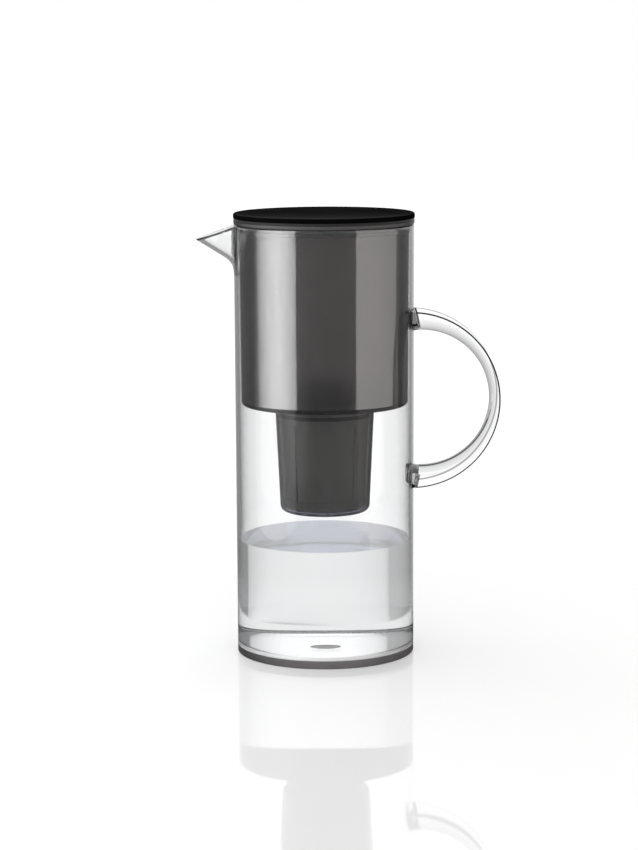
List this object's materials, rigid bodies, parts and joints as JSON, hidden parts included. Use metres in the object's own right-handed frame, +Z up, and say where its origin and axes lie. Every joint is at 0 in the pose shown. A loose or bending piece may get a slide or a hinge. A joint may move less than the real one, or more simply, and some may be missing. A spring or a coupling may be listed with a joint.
{
  "type": "water filter pitcher",
  "caption": "Clear cylindrical pitcher with a pouring lip and loop handle, holding a drop-in smoke reservoir with a filter cartridge under a flat lid.",
  "frame": {"origin": "on the jug's axis, in the plane of the table that it stands on", "axes": "+Z up along the jug's axis, -X towards the pouring lip, +X towards the handle, +Y away from the picture's viewer"},
  "size_m": [0.1861, 0.1108, 0.272],
  "materials": {
    "clear_plastic": "clear, polished",
    "bond": "cured clear adhesive seen edge on",
    "foot": "satin smoke grey",
    "smoke_plastic": "smoke tint, polished",
    "seal": "translucent grey silicone",
    "lid": "black, fine satin grain",
    "cartridge": "grey, satin",
    "screen": "fine woven mesh",
    "carbon": "black granules",
    "resin": "amber beads"
  },
  "bodies": {
    "jug": {"jug_body": "clear_plastic", "handle": "clear_plastic", "handle_bond": "bond", "foot_ring": "foot"},
    "reservoir": {"reservoir": "smoke_plastic", "reservoir_seal": "seal"},
    "lid": {"lid": "lid", "lid_seal": "seal"},
    "cartridge": {"cartridge_shell": "cartridge", "cartridge_cap": "cartridge", "cartridge_seal": "seal", "top_screen": "screen", "carbon_bed": "carbon", "divider_fleece": "screen", "resin_bed": "resin", "bottom_screen": "screen"}
  },
  "joints": [
    {"name": "reservoir_lift", "type": "slide", "parent": "jug", "child": "reservoir", "axis": [0, 0, 1], "range_m": [0, 0.19]},
    {"name": "lid_lift", "type": "slide", "parent": "reservoir", "child": "lid", "axis": [0, 0, 1], "range_m": [0, 0.06]},
    {"name": "cartridge_lift", "type": "slide", "parent": "reservoir", "child": "cartridge", "axis": [0, 0, 1], "range_m": [0, 0.085]}
  ]
}
